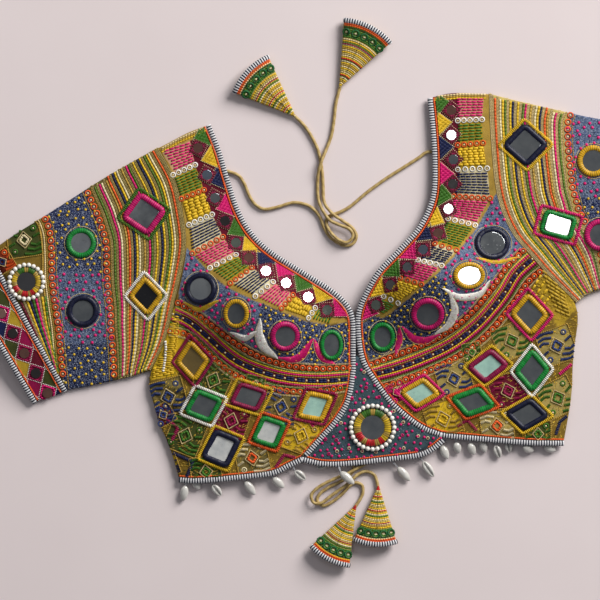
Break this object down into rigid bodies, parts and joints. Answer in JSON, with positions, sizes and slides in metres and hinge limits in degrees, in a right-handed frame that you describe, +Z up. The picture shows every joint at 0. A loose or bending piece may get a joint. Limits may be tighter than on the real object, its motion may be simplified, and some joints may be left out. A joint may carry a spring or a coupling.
{
  "type": "choli blouse",
  "caption": "Short embroidered choli blouse laid flat, front up, with domed cups, set-in sleeves, striped edging, a shell-trimmed hem, an open back and ties ending in cloth cones.",
  "frame": {"origin": "centre of the laid-out blouse's outline, on the table under it, measured without the ties and their cones", "axes": "+Z up from the table towards the front of the blouse, +Y towards the shoulders, +X towards the sleeve on the viewer's right"},
  "size_m": [0.7594, 0.5489, 0.0401],
  "materials": {
    "embroidered_front": "mirror-work embroidery in bands of orange rings, chain-stitch stripes and dotted cups",
    "gusset_cloth": "slate blue cloth with pink knots",
    "back_cloth": "ochre cloth with stitched lines",
    "embroidered_sleeve": "narrow couched stripes, dotted fields and columns of orange rings",
    "cuff_patchwork": "patchwork squares with small mirrors",
    "striped_binding": "black and white wrapped cord edging",
    "tie_cord": "twisted gold-beige cord",
    "tassel_cone": "rows of gold stitches with maroon lines",
    "frame_navy": "wrapped navy thread",
    "frame_yellow": "wrapped yellow thread",
    "frame_pink": "wrapped pink thread",
    "frame_green": "wrapped green thread",
    "frame_maroon": "wrapped maroon thread",
    "pearl_ring": "thread ring edged with pearl beads",
    "mirror_glass": "small cut mirrors",
    "cowrie_shell": "small white cowrie shells, natural shell"
  },
  "bodies": {
    "root": {"back_left": "back_cloth", "back_right": "back_cloth", "cuff_hem_piping_left": "striped_binding", "cuff_hem_piping_right": "striped_binding", "cuff_left": "cuff_patchwork", "cuff_right": "cuff_patchwork", "cuff_seam_piping_left": "striped_binding", "cuff_seam_piping_right": "striped_binding", "front_gusset": "gusset_cloth", "front_left": "embroidered_front", "front_right": "embroidered_front", "hem_binding_back_left": "striped_binding", "hem_binding_back_right": "striped_binding", "hem_binding_centre": "striped_binding", "hem_binding_front_left": "striped_binding", "hem_binding_front_right": "striped_binding", "mirror_fl_round_1": "frame_navy", "mirror_fl_round_2": "frame_yellow", "mirror_fl_round_3": "frame_pink", "mirror_fl_round_4": "frame_green", "mirror_fl_square_1": "frame_yellow", "mirror_fl_square_2": "frame_green", "mirror_fl_square_3": "frame_maroon", "mirror_fl_square_4": "frame_yellow", "mirror_fl_square_5": "frame_green", "mirror_fl_square_6": "frame_navy", "mirror_fr_round_1": "frame_navy", "mirror_fr_round_2": "frame_yellow", "mirror_fr_round_3": "frame_pink", "mirror_fr_round_4": "frame_green", "mirror_fr_square_1": "frame_yellow", "mirror_fr_square_2": "frame_green", "mirror_fr_square_3": "frame_maroon", "mirror_fr_square_4": "frame_yellow", "mirror_fr_square_5": "frame_green", "mirror_fr_square_6": "frame_navy", "mirror_gusset_pearl": "pearl_ring", "mirror_sl_pearl": "pearl_ring", "mirror_sl_round_1": "frame_green", "mirror_sl_round_2": "frame_navy", "mirror_sl_square_1": "frame_pink", "mirror_sl_square_2": "frame_yellow", "mirror_sr_pearl": "pearl_ring", "mirror_sr_round_1": "frame_yellow", "mirror_sr_round_2": "frame_pink", "mirror_sr_square_1": "frame_navy", "mirror_sr_square_2": "frame_green", "neck_binding_left": "striped_binding", "neck_binding_right": "striped_binding", "neck_cone_left": "tassel_cone", "neck_cone_right": "tassel_cone", "neck_tie_left": "tie_cord", "neck_tie_right": "tie_cord", "sleeve_left": "embroidered_sleeve", "sleeve_right": "embroidered_sleeve", "waist_cone_left": "tassel_cone", "waist_cone_right": "tassel_cone", "waist_tie_left": "tie_cord", "waist_tie_right": "tie_cord"}
  },
  "joints": []
}
